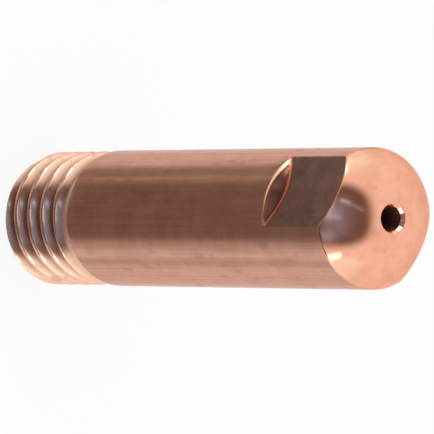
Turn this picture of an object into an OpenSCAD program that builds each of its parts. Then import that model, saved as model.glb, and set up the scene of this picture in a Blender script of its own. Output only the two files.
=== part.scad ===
// Welding contact tip: a turned copper nozzle that guides and powers the welding wire.
// It stands on its threaded end, with the domed nose up. All sizes are in millimetres.

/* [Body] */
// Overall length, from the threaded end to the rim of the bore in the nose
length = 25; // [20:0.5:45]
// Diameter of the plain body
body_d = 6; // [6:0.1:10]
// Height of the domed nose above its rim
nose_rise = 1.3; // [0.4:0.1:2.4]
// Break on the edge of the shoulder
edge_break = 0.1; // [0.05:0.05:0.3]

/* [Thread] */
// Nominal diameter of the thread
thread_d = 6; // [5:0.1:6]
// Advance of the thread in one turn
pitch = 1; // [0.5:0.25:1]
// Play of the thread's crest under the nominal diameter
crest_play = 0.06; // [0.03:0.01:0.2]
// Length of the threaded end, up to the shoulder
thread_length = 5.4; // [4:0.1:12]
// Angle round the axis where the thread enters the end
thread_start = 327; // [0:1:359]
// Facets in one turn of the thread
thread_facets = 36; // [18:6:60]

/* [Wrench flats] */
// Width across the two flats
flats_w = 5; // [4:0.1:5.8]
// Length of the flats, from the tip of the nose to their shoulder
flats_length = 5.1; // [3:0.1:12]
// Slope of the shoulder behind the flats, from the axis
flats_slope = 40; // [30:5:75]

/* [Wire bore] */
// Diameter of the bore, for wire of 0.8 mm
bore_d = 1; // [0.8:0.05:2]
// Break on the rim of the bore at the nose
rim_break = 0.12; // [0.04:0.02:0.4]
// Width of the conical lead-in at the threaded end
leadin_d = 2.4; // [1.6:0.1:3]
// Full angle of the conical lead-in
leadin_angle = 60; // [40:5:90]

/* [Hidden] */
$fn = 96;

// room that a cut takes past the surface it opens
over = 0.25;

body_r = body_d / 2;
flats_y = flats_w / 2;
flats_z = length - flats_length;
shoulder_z = thread_length;

// ball of the domed nose, through its own rim and the rim of the bore
rim_r = bore_d / 2 + rim_break;
nose_drop = (body_r * body_r - rim_r * rim_r + nose_rise * nose_rise) / (2 * nose_rise);
nose_r = sqrt(rim_r * rim_r + nose_drop * nose_drop);
nose_z = length - nose_drop;

// ISO metric thread form on the pitch
flank = 30;
crest_r = (thread_d - crest_play) / 2;
root_r = thread_d / 2 - 0.6134 * pitch;
root_w = pitch / 6;
groove_r = crest_r + over;
function groove_w(r) = root_w + 2 * (r - root_r) * tan(flank);

// lead chamfer, down to just under the root
chamfer_r = root_r - 0.08 * pitch;
chamfer_z = crest_r - chamfer_r;

// run-out groove between the thread and the shoulder, as wide as the thread's own groove
runout_r = root_r - 0.04 * pitch;
runout_w = groove_w(crest_r) + 0.06 * pitch;
runout_z = shoulder_z - runout_w;
runout_ramp = (crest_r - runout_r) * tan(flank);

// turns of the thread, from below the end to the middle of the run-out groove
enter_z = -groove_w(groove_r) / 2 - 0.02 * pitch;
leave_z = shoulder_z - runout_w / 2;
steps = ceil((leave_z - enter_z) / pitch * thread_facets);
step_z = (leave_z - enter_z) / steps;

// the part as turned: lead chamfer, thread blank, run-out groove, shoulder and body
module blank() {
    rotate_extrude()
        polygon([
            [0, 0],
            [chamfer_r, 0],
            [crest_r, chamfer_z],
            [crest_r, runout_z],
            [runout_r, runout_z + runout_ramp],
            [runout_r, shoulder_z],
            [body_r - edge_break, shoulder_z],
            [body_r, shoulder_z + edge_break],
            [body_r, length],
            [0, length]
        ]);
}

// ball that rounds the nose, with room for the body under it
module nose_form() {
    translate([0, 0, nose_z])
        sphere(r = nose_r);
    translate([0, 0, -over])
        cylinder(h = nose_z + over, r = body_r + over);
}

// section of the thread's groove, as [radius, height]
groove = [
    [root_r, -root_w / 2],
    [groove_r, -groove_w(groove_r) / 2],
    [groove_r, groove_w(groove_r) / 2],
    [root_r, root_w / 2]
];

// groove of the right-hand thread, swept up the axis in short steps
module thread_groove() {
    n = len(groove);
    points = [
        for (i = [0:steps])
            let (z = enter_z + i * step_z, a = thread_start + 360 * z / pitch)
                for (p = groove) [p[0] * cos(a), p[0] * sin(a), z + p[1]]
    ];
    sides = [
        for (i = [0:steps - 1], k = [0:n - 1])
            let (a = i * n + k, b = i * n + (k + 1) % n)
                each [[a, b, b + n], [a, b + n, a + n]]
    ];
    last = steps * n;
    ends = [
        [2, 1, 0], [3, 2, 0],
        [last, last + 1, last + 2], [last, last + 2, last + 3]
    ];
    polyhedron(points = points, faces = concat(sides, ends), convexity = 12);
}

// cut for one wrench flat, on the +Y side, with a turned shoulder behind it
module flat_cut() {
    drop = over * tan(90 - flats_slope);
    cone_r = body_r + over;
    difference() {
        translate([-body_d, flats_y, flats_z - drop])
            cube([2 * body_d, body_d, flats_length + drop + over]);
        translate([0, 0, flats_z - drop])
            cylinder(h = cone_r * tan(90 - flats_slope), r1 = cone_r, r2 = 0);
    }
}

// wire bore with its conical lead-in and a broken rim at the nose
module wire_bore() {
    leadin_h = leadin_d / 2 / tan(leadin_angle / 2);
    translate([0, 0, -over])
        cylinder(h = length + 2 * over, d = bore_d);
    cylinder(h = leadin_h, r1 = leadin_d / 2, r2 = 0);
    translate([0, 0, length - rim_r])
        cylinder(h = rim_r + over, r1 = 0, r2 = rim_r + over);
}

module contact_tip() {
    color("#b87355")
        difference() {
            intersection() {
                blank();
                nose_form();
            }
            thread_groove();
            flat_cut();
            mirror([0, 1, 0])
                flat_cut();
            wire_bore();
        }
}

contact_tip();
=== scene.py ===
from math import acos, cos, degrees, pi, radians, sin, tan

import bpy
import numpy as np
from mathutils import Matrix, Vector


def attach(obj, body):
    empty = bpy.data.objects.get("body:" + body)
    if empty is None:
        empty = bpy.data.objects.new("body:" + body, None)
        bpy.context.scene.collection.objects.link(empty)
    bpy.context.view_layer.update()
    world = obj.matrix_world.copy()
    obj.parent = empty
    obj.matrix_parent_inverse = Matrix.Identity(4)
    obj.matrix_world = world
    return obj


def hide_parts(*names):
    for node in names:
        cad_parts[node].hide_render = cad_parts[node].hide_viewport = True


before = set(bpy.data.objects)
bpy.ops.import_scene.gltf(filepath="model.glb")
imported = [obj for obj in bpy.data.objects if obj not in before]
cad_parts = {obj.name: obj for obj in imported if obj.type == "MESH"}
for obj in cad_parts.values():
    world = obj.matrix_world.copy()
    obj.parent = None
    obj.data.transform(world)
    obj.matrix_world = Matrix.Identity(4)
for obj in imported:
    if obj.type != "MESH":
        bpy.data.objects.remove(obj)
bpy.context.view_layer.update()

# Sizes of the tip in millimetres, as the solid has them.
MM = 0.001
LENGTH = 25.0
BODY_R = 3.0
SHOULDER_Z = 5.4
EDGE_BREAK = 0.1

# Thread with its lead chamfer and run-out groove.
PITCH = 1.0
THREAD_R = 3.0
THREAD_START = 327.0
CREST_R = 2.97
ROOT_R = THREAD_R - 0.6134 * PITCH
ROOT_W = PITCH / 6
FLANK = tan(radians(30))
GROOVE_W = ROOT_W + 2 * (CREST_R - ROOT_R) * FLANK
CHAMFER_R = ROOT_R - 0.08 * PITCH
RUNOUT_R = ROOT_R - 0.04 * PITCH
RUNOUT_Z = SHOULDER_Z - GROOVE_W - 0.06 * PITCH
THREAD_TOP = RUNOUT_Z + (CREST_R - RUNOUT_R) * FLANK

# Wrench flats, bore with its lead-in, and the ball of the nose.
FLATS_Y = 2.5
FLATS_LENGTH = 5.1
FLATS_Z = LENGTH - FLATS_LENGTH
FLATS_SLOPE = tan(radians(40))
BORE_R = 0.5
RIM_BREAK = 0.12
RIM_R = BORE_R + RIM_BREAK
LEADIN_R = 1.2
LEADIN_SLOPE = tan(radians(30))
LEADIN_Z = (LEADIN_R - BORE_R) / LEADIN_SLOPE
NOSE_RISE = 1.3
NOSE_DROP = (BODY_R**2 - RIM_R**2 + NOSE_RISE**2) / (2 * NOSE_RISE)
NOSE_BALL = (RIM_R**2 + NOSE_DROP**2) ** 0.5
NOSE_Z = LENGTH - NOSE_DROP

# Worn edges and filled corners, in millimetres.
EDGE = 0.03
CORNER = 0.05
NOSE_EDGE = 0.05
LEADIN_CORNER = 0.08
FLAT_EDGE = 0.07
FLAT_CORNER = 0.09
RIM_WEAR = 0.04
RIM_OPEN = 0.03
RIM_LAND = 0.06
LIP_R = RIM_R + RIM_OPEN
LAND_R = LIP_R + RIM_LAND
THREAD_WEAR = 0.085
WORN_FLANK = tan(radians(25))

# Where the edge behind a flat is worn wider, in degrees round the axis from the camera's side,
# and by how many millimetres.
WORN_AT = -48.0
WORN_SPREAD = 8.0
WORN_MORE = 0.11

# Small facets that the countersink left in the rim of the bore, on the side away from the camera.
FACETS = 13
FACET_TURN = radians(151.3)
FACET_SHARE = 0.5
FACET_SWING = 0.9

# Columns and rows of points in the skin.
COLUMN_STEP = 2.0
COLUMN_GAP = 0.6
EDGE_COLUMNS = (-1.2, -0.7, -0.35, 0, 0.35, 0.7, 1.2)
BEND_STEPS = 4
MOST_OF_LEG = 0.45
END_ROWS = (1.5, 1.9)
THREAD_ROWS = 52
THREAD_TURNS = range(-2, 7)
BODY_ROWS = 13
ARRIS_ROWS = 7
LEAF_ROWS = 9
FILLET_ROWS = 7
FLAT_ROWS = 12
NOSE_ROWS = 40
BORE_ROWS = 14
LEADIN_ROWS = (0.25, 0.5, 0.75)
SHARP_ANGLE = radians(32)

# Room that rows keep from the bends next to them, in millimetres.
GROOVE_ROOM = 0.2
BODY_ROOM = 0.6
FLATS_ROOM = 0.3
RIM_ROOM = 0.06
LIP_ROOM = 0.6
LEADIN_ROOM = 0.3

# Half heights of the rows at the edge and in the corner behind a flat, in millimetres.
ARRIS_HALF = 0.09
FILLET_HALF = 0.11

# A flat shallower than the first has no shoulder, and up to the second only its edge and a fillet.
SHALLOW = 0.06
HALF_DEEP = 0.16

# Zones of the skin, in the order of their finishes, and those of the rows behind and in a flat.
THREAD, BODY, FLAT, NOSE, BORE, END, LEAF, ARRIS, FILLET = range(9)
FLAT_ROW_ZONES = ([ARRIS] * (ARRIS_ROWS - 1) + [LEAF] * (LEAF_ROWS - 1)
                  + [FILLET] * (FILLET_ROWS - 1) + [FLAT] * (FLAT_ROWS - 1))

# The object's axes as the camera sees them: E1 points to the camera's side, E2 down the picture.
# Someone who stands on that side has E2 to the right, which is what left and right mean below.
SEEN_FROM = radians(-63.031)
E1 = Vector((cos(SEEN_FROM), sin(SEEN_FROM), 0))
E2 = Vector((-E1.y, E1.x, 0))
UP = Vector((0, 0, 1))


def soft_min(first, second, width):
    """The smaller of two values, with a rounded change from one to the other."""
    overlap = np.maximum(width - np.abs(first - second), 0) / width
    return np.minimum(first, second) - overlap * overlap * width / 4


def soft_max(first, second, width):
    return -soft_min(-first, -second, width)


def bell(value, middle, width):
    return np.exp(-0.5 * ((value - middle) / width) ** 2)


def dome_z(r):
    """Height of the nose's ball at a radius."""
    return NOSE_Z + np.sqrt(NOSE_BALL**2 - r * r)


def bend(start, corner, end, size):
    """Points round a corner of a path, each an (r, z) pair of arrays, rounded over a length."""
    def toward(point):
        leg = point - corner
        return corner + leg * np.minimum(size / np.hypot(leg[0], leg[1]), MOST_OF_LEG)

    first, last = toward(start), toward(end)
    shares = np.linspace(0, 1, BEND_STEPS + 1)
    return [(1 - t) ** 2 * first + 2 * t * (1 - t) * corner + t * t * last for t in shares]


def thread_form():
    """One pitch of the thread from the middle of a crest, as (height, radius) pairs, with worn corners."""
    fine = 4000
    curve_weight = 0.12
    height = np.arange(fine) / fine * PITCH
    off = np.minimum(height, PITCH - height)
    middle = (PITCH - GROOVE_W / 2 - ROOT_W / 2) / 2
    reach = (CREST_R - ROOT_R) / 2 * WORN_FLANK
    corners = [0, middle - reach, middle + reach, PITCH / 2]
    radius = np.interp(off, corners, [CREST_R, CREST_R, ROOT_R, ROOT_R])
    wear = bell(off, 0, THREAD_WEAR)
    radius = np.real(np.fft.ifft(np.fft.fft(radius) * np.fft.fft(wear / wear.sum())))
    radius += CREST_R - radius.max()
    curve = np.abs(np.gradient(np.gradient(radius, height), height))
    way = np.cumsum(1 + curve_weight * curve)
    picks = np.interp(np.arange(THREAD_ROWS) / THREAD_ROWS * way[-1], way, height)
    return [(pick, np.interp(pick, height, radius)) for pick in picks]


def column_angles():
    """Angles of the skin's columns in degrees, closer together at the edges of the flats."""
    half = degrees(acos(FLATS_Y / BODY_R))
    edges = [middle + side * half for middle in (90, 270) for side in (-1, 1)]
    fine = [(edge + shift) % 360 for edge in edges for shift in EDGE_COLUMNS]
    even = np.arange(0, 360, COLUMN_STEP)
    plain = [angle for angle in even if min(abs(angle - near) for near in fine) > COLUMN_GAP]
    return np.array(sorted(plain + fine))


class Skin:
    """Rings of points round the axis, sewn into one closed skin."""

    def __init__(self):
        self.angles = column_angles()
        self.turn = np.radians(self.angles)
        self.count = len(self.angles)
        self.points = []
        self.faces = []
        self.zones = []

    def size(self):
        return sum(len(ring) for ring in self.points)

    def point(self, r, z):
        """An (r, z) pair of arrays, with a value for each column."""
        return np.array([r * np.ones(self.count), z * np.ones(self.count)])

    def ring(self, r, z):
        start = self.size()
        self.points.append(np.stack([r * np.cos(self.turn), r * np.sin(self.turn), z], 1))
        return list(range(start, start + self.count))

    def rings(self, path):
        return [self.ring(r, z) for r, z in path]

    def face(self, corners, zone):
        kept = [corner for i, corner in enumerate(corners) if corner != corners[i - 1]]
        if len(set(kept)) >= 3:
            self.faces.append(kept)
            self.zones.append(zone)

    def sew(self, low, high, zones):
        """Faces between two rings, with a zone for each column."""
        for j in range(self.count):
            after = (j + 1) % self.count
            self.face([low[j], low[after], high[after], high[j]], zones[j])

    def sew_run(self, run, zone):
        for low, high in zip(run, run[1:]):
            self.sew(low, high, [zone] * self.count)

    def make_object(self, name):
        mesh = bpy.data.meshes.new(name)
        mesh.from_pydata((np.concatenate(self.points) * MM).tolist(), [], self.faces)
        mesh.polygons.foreach_set("material_index", self.zones)
        mesh.polygons.foreach_set("use_smooth", [True] * len(self.faces))
        mesh.validate()
        mesh.set_sharp_from_angle(angle=SHARP_ANGLE)
        skin_object = bpy.data.objects.new(name, mesh)
        bpy.context.collection.objects.link(skin_object)
        return skin_object


def end_rings(skin):
    """End face, from the rim of the lead-in to the foot of the lead chamfer."""
    rim = bend(skin.point(BORE_R, LEADIN_Z), skin.point(LEADIN_R, 0), skin.point(CHAMFER_R, 0), EDGE)
    return skin.rings(rim + [skin.point(r, 0) for r in (*END_ROWS, CHAMFER_R)])


def body_rings(skin):
    """Run-out groove from the end of the thread on, shoulder and plain body."""
    groove_low = skin.point(RUNOUT_R, THREAD_TOP)
    groove_high = skin.point(RUNOUT_R, SHOULDER_Z)
    shoulder_in = skin.point(BODY_R - EDGE_BREAK, SHOULDER_Z)
    shoulder_out = skin.point(BODY_R, SHOULDER_Z + EDGE_BREAK)
    body_top = skin.point(BODY_R, FLATS_Z - FLATS_ROOM)
    path = [groove_low, skin.point(RUNOUT_R, THREAD_TOP + GROOVE_ROOM)]
    path += bend(groove_low, groove_high, shoulder_in, CORNER)
    path += bend(groove_high, shoulder_in, shoulder_out, EDGE)
    path += bend(shoulder_in, shoulder_out, body_top, EDGE)
    heights = np.linspace(SHOULDER_Z + BODY_ROOM, FLATS_Z - FLATS_ROOM, BODY_ROWS)
    return skin.rings(path + [skin.point(BODY_R, z) for z in heights])


def thread_skin(skin, low, high):
    """Rows that follow the helix, from the ring at the end face to the ring in the run-out."""
    snap = 0.004
    form = thread_form()
    rise = skin.angles / 360 * PITCH
    first_crest = -THREAD_START / 360 * PITCH + PITCH / 2
    next_index = skin.size()
    rows = []
    made = []
    for turn in THREAD_TURNS:
        for height, radius in form:
            z = first_crest + turn * PITCH + height + rise
            cut = soft_min(radius, CHAMFER_R + z, EDGE)
            r = soft_min(cut, CREST_R - (z - RUNOUT_Z) / FLANK, EDGE)
            row = []
            for j in range(skin.count):
                if z[j] <= snap:
                    row.append(low[j])
                elif z[j] >= THREAD_TOP - snap:
                    row.append(high[j])
                else:
                    made.append((r[j] * cos(skin.turn[j]), r[j] * sin(skin.turn[j]), z[j]))
                    row.append(next_index)
                    next_index += 1
            rows.append(row)
    skin.points.append(np.array(made))

    # the last column joins the first one a turn further up
    for i in range(len(rows) - 1):
        for j in range(skin.count):
            if j + 1 < skin.count:
                right = (rows[i][j + 1], rows[i + 1][j + 1])
            else:
                after = i + len(form)
                right = tuple(rows[a][0] if a < len(rows) else high[0] for a in (after, after + 1))
            skin.face([rows[i][j], right[0], right[1], rows[i + 1][j]], THREAD)


def wrench_flats(skin):
    """Depth of the flats under the body in each column, and which columns start a face in a flat."""
    least, nearly = 1e-6, 1e-9
    across = FLATS_Y / np.maximum(np.abs(np.sin(skin.turn)), least)
    depth = soft_max(0, BODY_R - across, EDGE)
    depth[across > BODY_R + EDGE] = 0
    after = np.roll(across, -1)
    inside = (after < BODY_R) | ((across < BODY_R) & (after <= BODY_R + nearly))
    return depth, inside


def flat_rings(skin, flat_depth):
    """Wrench flats with the turned shoulder behind them, up to the rim of the nose."""
    rim_z = dome_z(BODY_R - flat_depth) - RIM_ROOM
    foot_z = np.maximum(FLATS_Z + flat_depth / FLATS_SLOPE, FLATS_Z + FLATS_ROOM)
    leaf_z = FLATS_Z + ARRIS_HALF
    leaf_rise = foot_z - FILLET_HALF - leaf_z
    flat_z = foot_z + FILLET_HALF
    levels = [FLATS_Z + ARRIS_HALF * side for side in np.linspace(-1, 1, ARRIS_ROWS)]
    levels += [leaf_z + leaf_rise * share for share in np.linspace(0, 1, LEAF_ROWS)[1:-1]]
    levels += [foot_z + FILLET_HALF * side for side in np.linspace(-1, 1, FILLET_ROWS)]
    levels += [flat_z + (rim_z - flat_z) * share for share in np.linspace(0, 1, FLAT_ROWS)[1:]]

    off = (np.degrees(skin.turn - SEEN_FROM) - WORN_AT + 180) % 360 - 180
    edge = FLAT_EDGE + WORN_MORE * bell(off, 0, WORN_SPREAD)
    path = []
    for z in levels:
        cone = soft_max(0, (z - FLATS_Z) * FLATS_SLOPE, edge)
        depth = np.maximum(soft_min(flat_depth, cone, FLAT_CORNER), 0)
        path.append(skin.point(BODY_R - depth, z))
    return skin.rings(path)


def flat_zone(zone, depth):
    """Zone of a face in the rows of a wrench flat, where the flat is this deep."""
    if depth < SHALLOW:
        return BODY if zone in (ARRIS, LEAF) else FLAT
    if depth < HALF_DEEP:
        return {ARRIS: ARRIS, LEAF: FILLET}.get(zone, FLAT)
    return zone


def nose_rings(skin, flat_depth):
    """Worn rim of the nose and its dome, as far as the rim of the bore."""
    side_r = BODY_R - flat_depth
    inner_r = side_r - EDGE
    rim = skin.point(side_r, dome_z(side_r))
    under = skin.point(side_r, 0)
    worn = bend(under, rim, skin.point(inner_r, dome_z(inner_r)), NOSE_EDGE)
    outer_r = worn[-1][0]
    radii = [outer_r + (LAND_R - outer_r) * share for share in np.linspace(0, 1, NOSE_ROWS)[1:]]
    return skin.rings(worn + [skin.point(r, dome_z(r)) for r in radii])


def lip_rings(skin):
    """Rim of the bore with its facets, down to the wall of the bore."""
    side = 2 * pi / FACETS
    facet = np.cos((skin.turn - FACET_TURN + side / 2) % side - side / 2)
    share = np.clip(FACET_SHARE - FACET_SWING * np.cos(skin.turn - SEEN_FROM), 0, 1)
    facet = 1 - (1 - facet) * share
    land = skin.point(LAND_R, dome_z(LAND_R))
    top = skin.point(LIP_R / facet, dome_z(LIP_R / facet))
    wall = skin.point(BORE_R, LENGTH - LIP_R + BORE_R * facet)
    below = skin.point(BORE_R, LEADIN_Z)
    return skin.rings(bend(land, top, wall, RIM_WEAR) + bend(top, wall, below, RIM_WEAR))


def bore_rings(skin):
    """Bore under its rim, and the conical lead-in down to the end face."""
    heights = np.linspace(LENGTH - LIP_ROOM, LEADIN_Z + LEADIN_ROOM, BORE_ROWS)
    path = [skin.point(BORE_R, z) for z in heights]
    top, foot = skin.point(BORE_R, LEADIN_Z), skin.point(LEADIN_R, 0)
    path += bend(path[0], top, foot, LEADIN_CORNER)
    return skin.rings(path + [top + (foot - top) * share for share in LEADIN_ROWS])


def build_tip():
    """The whole tip as one closed skin."""
    skin = Skin()
    end = end_rings(skin)
    body = body_rings(skin)
    thread_skin(skin, end[-1], body[0])
    flat_depth, in_flat = wrench_flats(skin)
    flats = flat_rings(skin, flat_depth)
    nose = nose_rings(skin, flat_depth) + lip_rings(skin)
    bore = nose[-1:] + bore_rings(skin) + end[:1]

    skin.sew_run(end, END)
    skin.sew_run(body + flats[:1], BODY)
    depths = (flat_depth + np.roll(flat_depth, -1)) / 2
    for zone, low, high in zip(FLAT_ROW_ZONES, flats, flats[1:]):
        zones = [flat_zone(zone, depth) if inside else BODY for depth, inside in zip(depths, in_flat)]
        skin.sew(low, high, zones)
    skin.sew(flats[-1], nose[0], [FLAT if inside else BODY for inside in in_flat])
    skin.sew_run(nose, NOSE)
    skin.sew_run(bore, BORE)
    return skin.make_object("contact_tip_skin")


class Nodes:
    """Short calls for making shader nodes and joining them."""

    def __init__(self, owner):
        owner.use_nodes = True
        self.tree = owner.node_tree
        self.tree.nodes.clear()

    def add(self, kind, inputs=None, out=0, **settings):
        node = self.tree.nodes.new(kind)
        for key, value in settings.items():
            setattr(node, key, value)
        for key, value in (inputs or {}).items():
            if isinstance(value, bpy.types.NodeSocket):
                self.tree.links.new(value, node.inputs[key])
            else:
                node.inputs[key].default_value = value
        return node.outputs[out] if len(node.outputs) else None

    def math(self, operation, first, second=0.0, clamp=False):
        return self.add("ShaderNodeMath", {0: first, 1: second}, operation=operation, use_clamp=clamp)

    def span(self, value, low, high, to_low=0.0, to_high=1.0, smooth=True):
        kind = "SMOOTHSTEP" if smooth else "LINEAR"
        inputs = {"Value": value, "From Min": low, "From Max": high, "To Min": to_low, "To Max": to_high}
        return self.add("ShaderNodeMapRange", inputs, interpolation_type=kind)

    def mix(self, factor, first, second):
        # the Mix node's sockets for colours
        share, one, other, result = 0, 6, 7, 2
        inputs = {share: factor, one: first, other: second}
        return self.add("ShaderNodeMix", inputs, out=result, data_type="RGBA")

    def noise(self, vector, scale, detail, rough):
        inputs = {"Vector": vector, "Scale": scale, "Detail": detail, "Roughness": rough}
        return self.add("ShaderNodeTexNoise", inputs)

    def stretch(self, vector, factors):
        return self.add("ShaderNodeVectorMath", {0: vector, 1: factors}, operation="MULTIPLY")

    def ray_mask(self):
        """1 for the rays that show a surface as it is: seen straight, in a mirror or through glass."""
        rays = self.tree.nodes.new("ShaderNodeLightPath")
        shown = self.math("MAXIMUM", rays.outputs["Is Camera Ray"], rays.outputs["Is Glossy Ray"])
        return self.math("MAXIMUM", shown, rays.outputs["Is Transmission Ray"])


def tool_marks(nodes, marks, place, radius):
    """Fine lines of each kind: along a drawn bar, round a turned face, over a milled or a cut one."""
    ring_density = 9.0
    if marks == "drawn":
        return nodes.noise(nodes.stretch(place, (1.0, 1.0, 0.02)), scale=7.0, detail=4.0, rough=0.65)
    if marks == "rings":
        rings = nodes.add("ShaderNodeCombineXYZ", {0: nodes.math("MULTIPLY", radius, ring_density)})
        wobble = nodes.add("ShaderNodeVectorMath", {0: rings, 1: place}, operation="ADD")
        return nodes.noise(wobble, scale=1.6, detail=4.0, rough=0.6)
    if marks == "milled":
        return nodes.noise(nodes.stretch(place, (0.5, 1.0, 3.0)), scale=3.0, detail=4.0, rough=0.6)
    return nodes.noise(nodes.stretch(place, (0.25, 0.25, 5.0)), scale=5.0, detail=3.0, rough=0.6)


def copper(name, pale, deep, stain_and_shade, rough, marks, mark_depth):
    """Bare copper: tool marks of one kind, cloudy tarnish and small stains, with grime and painted shade in
    the hollows of the thread and of the cut faces. Lengths are millimetres.
    """
    edge_tint = (0.86, 0.66, 0.60, 1)
    line_range = {"low": 0.3, "high": 0.7}
    line_share = 0.3 if marks == "rings" else 0.55
    stain_rough = 0.02 if marks == "cut" else 0.12
    stain_beside_grime_and_shade = 0.6
    burr_rough = 0.22
    material = bpy.data.materials.new(name)
    nodes = Nodes(material)
    metres = nodes.add("ShaderNodeTexCoord", out="Object")
    place = nodes.stretch(metres, (1 / MM, 1 / MM, 1 / MM))
    split = nodes.tree.nodes.new("ShaderNodeSeparateXYZ")
    nodes.tree.links.new(place, split.inputs[0])
    x, y, z = split.outputs
    squares = nodes.math("ADD", nodes.math("MULTIPLY", x, x), nodes.math("MULTIPLY", y, y))
    radius = nodes.math("SQRT", squares)

    # tool marks and tarnish; a milled flat gets paler towards the nose
    lines = tool_marks(nodes, marks, place, radius)
    cloud = nodes.noise(place, scale=0.9, detail=5.0, rough=0.6)
    line_tone = nodes.span(lines, **line_range, to_high=line_share)
    cloud_tone = nodes.span(cloud, low=0.35, high=0.65, to_high=1 - line_share)
    tone = nodes.math("ADD", line_tone, cloud_tone)
    if marks == "milled":
        tone = nodes.math("SUBTRACT", tone, nodes.span(z, low=21.0, high=24.5, to_high=0.3), clamp=True)
    colour = nodes.mix(tone, (*pale, 1), (*deep, 1))

    # stains, with grime and painted shade darkening the roots of the thread and the corner behind a flat
    speck = nodes.noise(nodes.stretch(place, (1.0, 1.0, 0.5)), scale=1.7, detail=2.0, rough=0.5)
    stains_and_shade = nodes.span(speck, low=0.55, high=0.75, to_high=0.5)
    if marks in ("cut", "thread"):
        inner, outer = (2.50, 2.86) if marks == "thread" else (2.54, 2.93)
        # grime and painted shade: the copper darkens towards the roots, in place of the shade and dark
        # mirroring in the hollows
        grime_and_shade = nodes.span(radius, low=inner, high=outer, to_low=0.94, to_high=0.0)
        stains_and_shade = nodes.math("MAXIMUM", nodes.math("MULTIPLY", stains_and_shade, stain_beside_grime_and_shade), grime_and_shade)
    colour = nodes.mix(stains_and_shade, colour, (*stain_and_shade, 1))
    line_rough = nodes.span(lines, **line_range, to_low=rough[0], to_high=rough[1])
    roughness = nodes.math("ADD", line_rough, nodes.math("MULTIPLY", stains_and_shade, stain_rough))

    # the thread's upper end is clean and rough, and painted pale there as a painted highlight in place of
    # the bright band beside the shoulder
    if marks == "thread":
        burr_and_highlight = nodes.span(z, low=4.60, high=4.72)
        colour = nodes.mix(burr_and_highlight, colour, (*pale, 1))
        roughness = nodes.math("ADD", roughness, nodes.math("MULTIPLY", burr_and_highlight, burr_rough))
    bump = nodes.add("ShaderNodeBump", {"Height": lines, "Distance": mark_depth * MM, "Strength": 1.0})
    shader = nodes.add("ShaderNodeBsdfPrincipled", {
        "Base Color": colour, "Metallic": 1.0, "Roughness": roughness, "Normal": bump,
        "Specular Tint": edge_tint})
    nodes.add("ShaderNodeOutputMaterial", {"Surface": shader})
    return material


tip = build_tip()
finishes = (
    copper("thread_copper", pale=(1.0, 0.61, 0.44), deep=(0.93, 0.53, 0.375), stain_and_shade=(0.18, 0.115, 0.095),
           rough=(0.06, 0.12), marks="thread", mark_depth=0.002),
    copper("drawn_copper", pale=(0.66, 0.385, 0.292), deep=(0.535, 0.295, 0.215), stain_and_shade=(0.44, 0.23, 0.165),
           rough=(0.15, 0.26), marks="drawn", mark_depth=0.004),
    copper("milled_copper", pale=(0.45, 0.30, 0.27), deep=(0.28, 0.18, 0.155), stain_and_shade=(0.18, 0.11, 0.09),
           rough=(0.18, 0.32), marks="milled", mark_depth=0.005),
    copper("turned_copper", pale=(0.95, 0.47, 0.315), deep=(0.85, 0.39, 0.255), stain_and_shade=(0.77, 0.35, 0.24),
           rough=(0.085, 0.12), marks="rings", mark_depth=0.0003),
    # the bore's pale, greyish copper is painted light: it lightens the inside of the hole
    copper("bore_copper", pale=(0.80, 0.52, 0.44), deep=(0.66, 0.40, 0.33), stain_and_shade=(0.40, 0.24, 0.20),
           rough=(0.36, 0.50), marks="drawn", mark_depth=0.004),
    copper("end_copper", pale=(0.80, 0.43, 0.30), deep=(0.66, 0.33, 0.22), stain_and_shade=(0.45, 0.22, 0.15),
           rough=(0.20, 0.32), marks="rings", mark_depth=0.004),
    copper("leaf_copper", pale=(0.70, 0.35, 0.25), deep=(0.52, 0.24, 0.16), stain_and_shade=(0.34, 0.14, 0.09),
           rough=(0.12, 0.18), marks="cut", mark_depth=0.001),
    copper("arris_copper", pale=(0.98, 0.55, 0.39), deep=(0.88, 0.45, 0.30), stain_and_shade=(0.62, 0.28, 0.17),
           rough=(0.14, 0.20), marks="cut", mark_depth=0.001),
    # the corner behind a flat is painted red-orange: a painted reflection of the copper mirroring itself in
    # the crease
    copper("fillet_copper_painted_reflection", pale=(0.76, 0.27, 0.15), deep=(0.60, 0.20, 0.10), stain_and_shade=(0.38, 0.12, 0.06),
           rough=(0.18, 0.26), marks="cut", mark_depth=0.001),
)
for finish in finishes:
    tip.data.materials.append(finish)
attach(tip, "root")
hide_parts("contact_tip")


def stage_sheet(name, points, faces):
    """A mesh of the studio, which isn't part of the object."""
    mesh = bpy.data.meshes.new(name)
    mesh.from_pydata([tuple(point) for point in points], [], faces)
    obj = bpy.data.objects.new(name, mesh)
    bpy.context.collection.objects.link(obj)
    return obj


def pale_floor():
    """Floor that shows white, keeps the shadow and lies a hair under the tip. Lengths are metres."""
    half = 1.5
    drop = 0.00002
    white_share = 0.9
    corners = [(-half, -half, 0), (half, -half, 0), (half, half, 0), (-half, half, 0)]
    floor = stage_sheet("floor", corners, [(0, 1, 2, 3)])
    floor.location.z = -drop
    material = bpy.data.materials.new("floor_white")
    nodes = Nodes(material)
    plain = nodes.add("ShaderNodeBsdfDiffuse", {"Color": (0.92, 0.92, 0.92, 1)})
    white = nodes.add("ShaderNodeEmission", {"Color": (1, 1, 1, 1), "Strength": 1.0})
    share = nodes.math("MULTIPLY", nodes.ray_mask(), white_share)
    surface = nodes.add("ShaderNodeMixShader", {0: share, 1: plain, 2: white})
    nodes.add("ShaderNodeOutputMaterial", {"Surface": surface})
    floor.data.materials.append(material)


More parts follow.
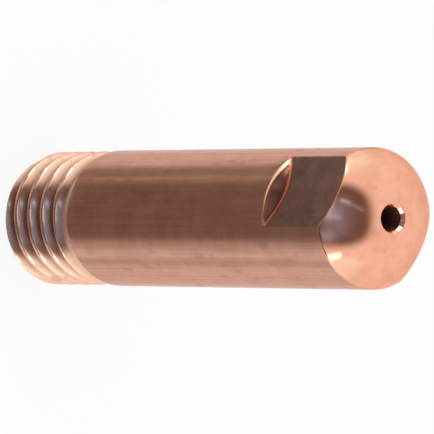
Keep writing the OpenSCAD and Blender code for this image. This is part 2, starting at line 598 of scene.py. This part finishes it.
def white_surround():
    """World that shows white, and lights the scene a little less brightly."""
    light = 0.9
    world = bpy.data.worlds.new("surround")
    bpy.context.scene.world = world
    nodes = Nodes(world)
    strength = nodes.span(nodes.ray_mask(), low=0.0, high=1.0, to_low=light, smooth=False)
    background = nodes.add("ShaderNodeBackground", {"Color": (1, 1, 1, 1), "Strength": strength})
    nodes.add("ShaderNodeOutputWorld", {"Surface": background})


pale_floor()
white_surround()

WHITE = (1.0, 1.0, 1.0)


def step(value, low, high):
    """0 at low, 1 at high, smooth between them; low may be the greater."""
    share = np.clip((value - low) / (high - low), 0, 1)
    return share * share * (3 - 2 * share)


def between(value, rise, fall):
    """The product of a rise and a fall, each a pair of values for a step."""
    return step(value, *rise) * step(value, *fall)


def close_to(value, middle, fall):
    """1 round the middle, 0 from the first distance of the fall on."""
    return step(np.abs(value - middle), *fall)


def paint(base, layers):
    """Colours laid over a base one after the other, each with its share at every place."""
    shade = np.asarray(base)
    for colour, share in layers:
        shade = shade * (1 - share[..., None]) + np.asarray(colour) * share[..., None]
    return shade


def card(name, grid, colours):
    """A studio card that only the metal mirrors: a grid of places, and a colour for each."""
    rows, columns = grid.shape[:2]
    faces = [(i * columns + j, i * columns + j + 1, (i + 1) * columns + j + 1, (i + 1) * columns + j)
             for i in range(rows - 1) for j in range(columns - 1)]
    axes = np.array([E1, E2, UP])
    sheet = stage_sheet(name, (grid.reshape(-1, 3) @ axes * MM).tolist(), faces)
    shade = sheet.data.color_attributes.new("shade", "FLOAT_COLOR", "POINT")
    rgba = np.ones((rows * columns, 4))
    rgba[:, :3] = colours.reshape(-1, 3)
    shade.data.foreach_set("color", rgba.ravel())
    material = bpy.data.materials.new(name + "_shade")
    nodes = Nodes(material)
    seen = nodes.add("ShaderNodeAttribute", attribute_name="shade")
    glow = nodes.add("ShaderNodeEmission", {"Color": seen})
    nodes.add("ShaderNodeOutputMaterial", {"Surface": glow})
    sheet.data.materials.append(material)
    sheet.visible_camera = False
    sheet.visible_diffuse = False
    sheet.visible_shadow = False
    sheet.visible_transmission = False


def floor_card():
    """Shaded card on the floor, which the sides of the body mirror.

    A bearing is in degrees round the axis from the camera's side, to the right, and reach is in
    millimetres. The card starts round the near half of the tip and closes behind it.
    """
    widest = 420.0
    above_floor = 0.03
    close_r = 3.03
    bearing, out = np.meshgrid(np.linspace(-180, 180, 181), np.linspace(0, 1, 61))
    turn = np.radians(bearing)
    reach = widest * out**4
    start = close_r * step(reach, low=45, high=18)
    grid = np.stack([start * np.cos(turn / 2) + reach * np.cos(turn),
                     start * np.sin(turn / 2) + reach * np.sin(turn), 0 * turn + above_floor], -1)

    # dark middle, lighter close to the tip, with two paler sides and a pale line in the left one
    middle = between(bearing, rise=(-69, -62), fall=(55, 31))
    left_light = 0.75 * step(bearing, low=-8, high=-60)
    right_light = 0.3 * step(bearing, low=16, high=60)
    light = step(reach, low=3.6, high=2.2) * (left_light + right_light)
    left_side = between(bearing, rise=(-106, -89), fall=(-62, -69))
    left_line = bell(bearing, middle=-72, width=2.6)
    right_side = 0.9 * between(bearing, rise=(38, 48), fall=(62, 48)) + bell(bearing, middle=79, width=5.0)

    # further out only the front stays dark, with a brown flag to each side, and the rim is white
    sides_end = step(reach, low=24, high=58) * (1 - close_to(bearing, middle=8, fall=(52, 14)))
    flags = close_to(bearing, middle=98, fall=(28, 8)) + close_to(bearing, middle=-114, fall=(22, 6))
    flags_start = step(reach, low=26, high=60)
    rim = step(reach, low=300, high=415)

    # bright lane at the left, which the edge behind the flat mirrors
    lane = close_to(bearing, middle=-82, fall=(12, 7))
    card("floor_card", grid, paint(WHITE, (
        ((0.27, 0.205, 0.18), middle * (1 - light)),
        ((0.38, 0.32, 0.27), left_side),
        ((0.66, 0.58, 0.52), 0.75 * left_line),
        ((0.60, 0.55, 0.51), 0.9 * np.clip(right_side, 0, 1)),
        (WHITE, sides_end),
        ((0.42, 0.35, 0.32), 0.85 * np.clip(flags, 0, 1) * flags_start),
        (WHITE, rim),
        ((1.7, 1.7, 1.7), lane * step(reach, low=45, high=70)),
        ((5.0, 5.0, 5.0), lane * step(reach, low=80, high=130)),
    )))


def camera_arch():
    """Dark arch over the camera's side, which the nose, the thread and the edges mirror.

    A place on it is a (swing, level) pair in degrees: swing goes to the right, level from the floor
    up past the camera. Height and bearing give the same direction from the floor.
    """
    far = 450.0
    level, swing = np.meshgrid(np.linspace(0, 160, 161), np.linspace(-82, 74, 157))
    toward = np.cos(np.radians(swing)) * np.cos(np.radians(level))
    aside = np.sin(np.radians(swing))
    upward = np.cos(np.radians(swing)) * np.sin(np.radians(level))
    grid = np.stack([toward, aside, upward], -1) * far
    height = np.degrees(np.arcsin(upward))
    bearing = np.degrees(np.arctan2(aside, toward))

    def spot(place, size):
        return bell(swing, place[0], size[0]) * bell(level, place[1], size[1])

    def streak(start, end, width):
        """A soft line from one place of the arch to another."""
        run, rise = end[0] - start[0], end[1] - start[1]
        along = ((swing - start[0]) * run + (level - start[1]) * rise) / (run * run + rise * rise)
        along = np.clip(along, 0, 1)
        off = np.hypot(swing - start[0] - along * run, level - start[1] - along * rise)
        return bell(off, 0, width)

    # dark part: a rounded patch over the camera and a low wall round it, clear of the floor at the sides
    patch_middle, patch_half = -4.6, 36.5
    patch_bend, patch_rise = 50, 49
    wall_height, left_drop = 26, 13
    side_foot = 7
    power = 2.4 + 0.5 * step(swing, low=-15, high=5)
    across = np.abs(swing - patch_middle) / patch_half
    above = np.maximum(level - patch_bend, 0) / patch_rise
    outline = (across**power + above**power) ** (1 / power)
    patch = step(outline, low=1.20, high=0.84) * step(level, low=118, high=86)
    wall_top = wall_height - left_drop * step(bearing, low=-58, high=-82)
    wall = step(height, wall_top + 4, wall_top - 3) * between(bearing, rise=(-96, -88), fall=(58, 46))
    foot = side_foot * (1 - close_to(bearing, middle=-5, fall=(48, 28)))
    dark = np.maximum(patch, wall) * step(height, foot - 1, foot + 3)

    # in the dark part: brown, bluish over the camera, with pale places and streaks
    blue = close_to(swing, middle=-2, fall=(32, 12)) * between(level, rise=(34, 46), fall=(84, 60))
    inside = paint((0.18, 0.15, 0.14), (
        ((0.24, 0.28, 0.42), blue),
        ((0.42, 0.58, 0.92), 0.8 * spot((-6, 50), size=(6, 7))),
        ((0.50, 0.72, 1.10), 0.65 * spot((21, 43), size=(4.5, 8))),
        ((0.62, 0.98, 1.35), 0.75 * streak((-21, 62), (-18, 70), width=1.5)),
        ((0.45, 0.66, 0.90), 0.45 * streak((-18, 70), (-9, 86), width=1.4)),
        ((0.50, 0.76, 1.12), 0.65 * streak((-3, 40), (-1, 58), width=1.4)),
        ((0.13, 0.10, 0.09), step(height, low=36, high=26)),
        ((0.95, 1.1, 1.3), 0.7 * spot((-14, 41), size=(8, 5.5))),
    ))

    # round it: white, with cool light to both sides, a bright hook in place of the right lamp's
    # mirror image, and a bright streak at the left
    right_glow = step(swing, low=40, high=52) * between(level, rise=(24, 40), fall=(120, 80))
    cool = np.maximum(right_glow, spot((-66, 116), size=(11, 40)))
    hook = np.maximum(0.7 * streak((56, 45), (48, 41), width=2.0), streak((47, 42), (44, 60), width=2.3))
    outside = paint(WHITE, (
        ((1.08, 1.34, 1.34), cool),
        ((3.6, 4.0, 4.2), hook),
        ((2.3, 2.5, 2.6), 0.6 * streak((-60, 71), (-74, 106), width=2.5)),
    ))
    card("camera_arch", grid, paint(outside, ((inside, dark),)))


floor_card()
camera_arch()


def soft_box(name, bearing, height, size, lean, radiance):
    """A soft lamp that faces the tip, placed by angles in degrees, with its size in millimetres."""
    distance = 320
    light = bpy.data.lights.new(name, "AREA")
    light.shape = "RECTANGLE"
    light.size, light.size_y = size[0] * MM, size[1] * MM
    light.energy = radiance * pi * light.size * light.size_y
    turn, rise = radians(bearing), radians(height)
    back = (E1 * cos(turn) + E2 * sin(turn)) * cos(rise) + UP * sin(rise)
    across = UP.cross(back).normalized()
    leaning = Matrix.Rotation(radians(lean), 3, back)
    facing = Matrix((leaning @ across, leaning @ back.cross(across), back)).transposed()
    lamp = bpy.data.objects.new(name, light)
    lamp.matrix_world = Matrix.Translation(back * distance * MM) @ facing.to_4x4()
    bpy.context.collection.objects.link(lamp)
    return lamp


soft_box("soft_box_left", bearing=-77, height=27, size=(60, 80), lean=0, radiance=2.8)
right_lamp = soft_box("soft_box_right", bearing=55, height=32, size=(36, 140), lean=-38, radiance=2.4)
right_lamp.visible_glossy = False
soft_box("strip_low", bearing=-80, height=4.5, size=(70, 30), lean=0, radiance=2.8)


def photo_camera():
    """Camera at the photograph's place and angle, fitted to the object's outline there."""
    tilt, roll = radians(36.379), radians(0.049)
    sensor = 36
    focal_pixels = 6448.23
    frame_pixels = 434
    # middle of the tip's end face from the camera, in millimetres to its right, down and ahead
    tip_right, tip_down, tip_ahead = -7.4598, 0.0511, 289.9046
    right = -E1 * cos(tilt) * cos(roll) - E2 * sin(roll) + UP * sin(tilt) * cos(roll)
    down = -E1 * cos(tilt) * sin(roll) + E2 * cos(roll) + UP * sin(tilt) * sin(roll)
    ahead = -E1 * sin(tilt) - UP * cos(tilt)
    eye = -(right * tip_right + down * tip_down + ahead * tip_ahead) * MM
    lens = bpy.data.cameras.new("camera")
    lens.sensor_width = sensor
    lens.lens = focal_pixels / frame_pixels * sensor
    lens.clip_start = 0.01
    camera = bpy.data.objects.new("camera", lens)
    camera.matrix_world = Matrix.Translation(eye) @ Matrix((right, -down, -ahead)).transposed().to_4x4()
    bpy.context.collection.objects.link(camera)
    bpy.context.scene.camera = camera


photo_camera()
bpy.context.scene.view_settings.view_transform = "Standard"
